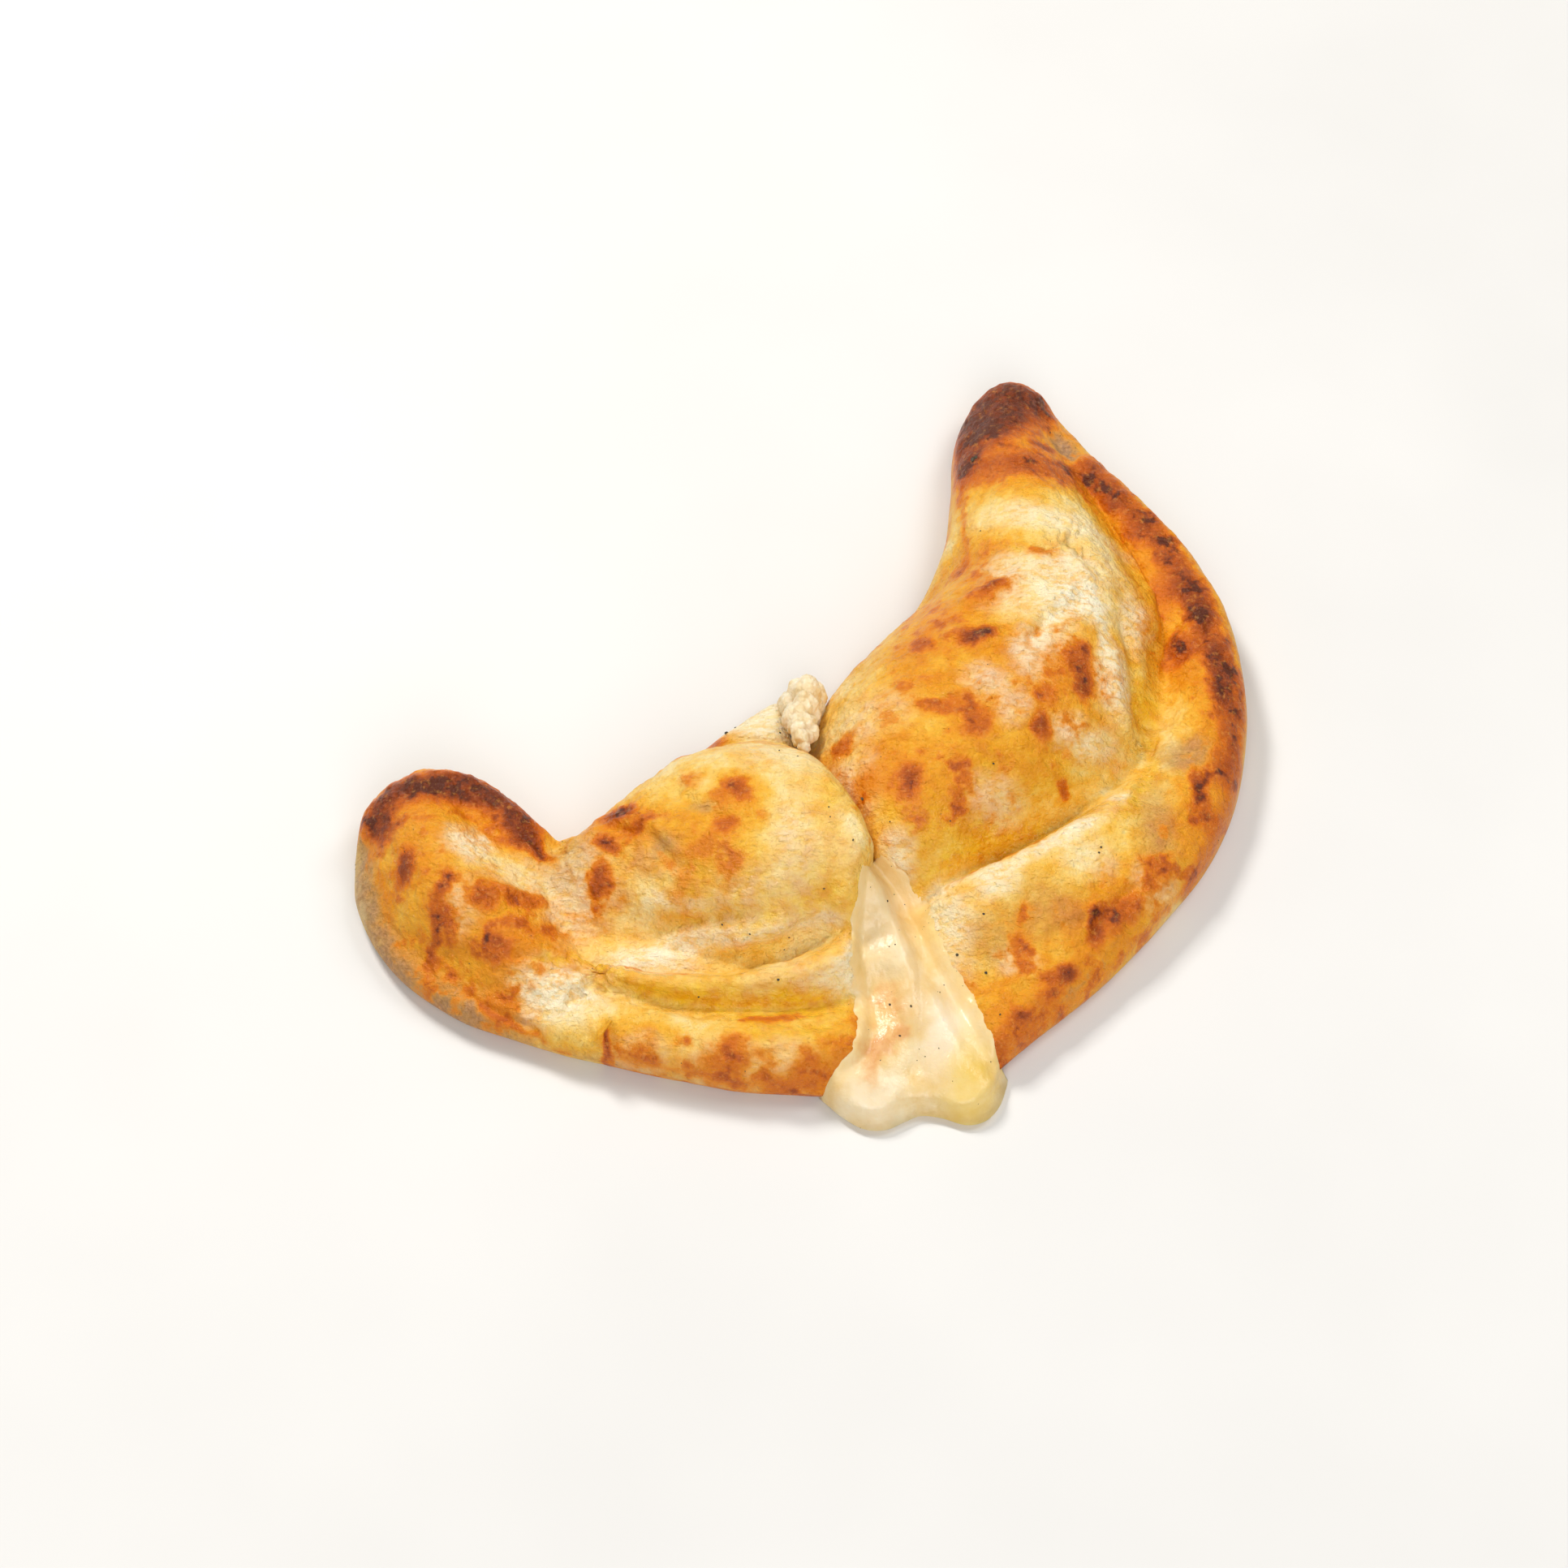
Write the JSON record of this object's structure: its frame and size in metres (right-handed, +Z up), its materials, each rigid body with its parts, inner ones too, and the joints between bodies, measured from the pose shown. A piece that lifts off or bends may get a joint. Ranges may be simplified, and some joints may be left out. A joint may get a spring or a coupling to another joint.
{
  "type": "calzone",
  "caption": "Baked crescent calzone cut across, with melted cheese flowing out of the cut onto the table and ricotta in the open end.",
  "frame": {"origin": "on the table under the middle of the food's box", "axes": "+Z up; the tips point to -X and to +Y, and the crimped outer edge faces -Y and +X"},
  "size_m": [0.1948, 0.1964, 0.0294],
  "materials": {
    "baked_crust": "baked dough with an oily sheen, browned in spots",
    "melted_cheese": "glossy melted cheese",
    "ricotta": "moist crumbly curd"
  },
  "bodies": {
    "root": {"crust_left": "baked_crust", "crust_right": "baked_crust", "cheese_filling": "melted_cheese", "ricotta_curd": "ricotta"}
  },
  "joints": []
}
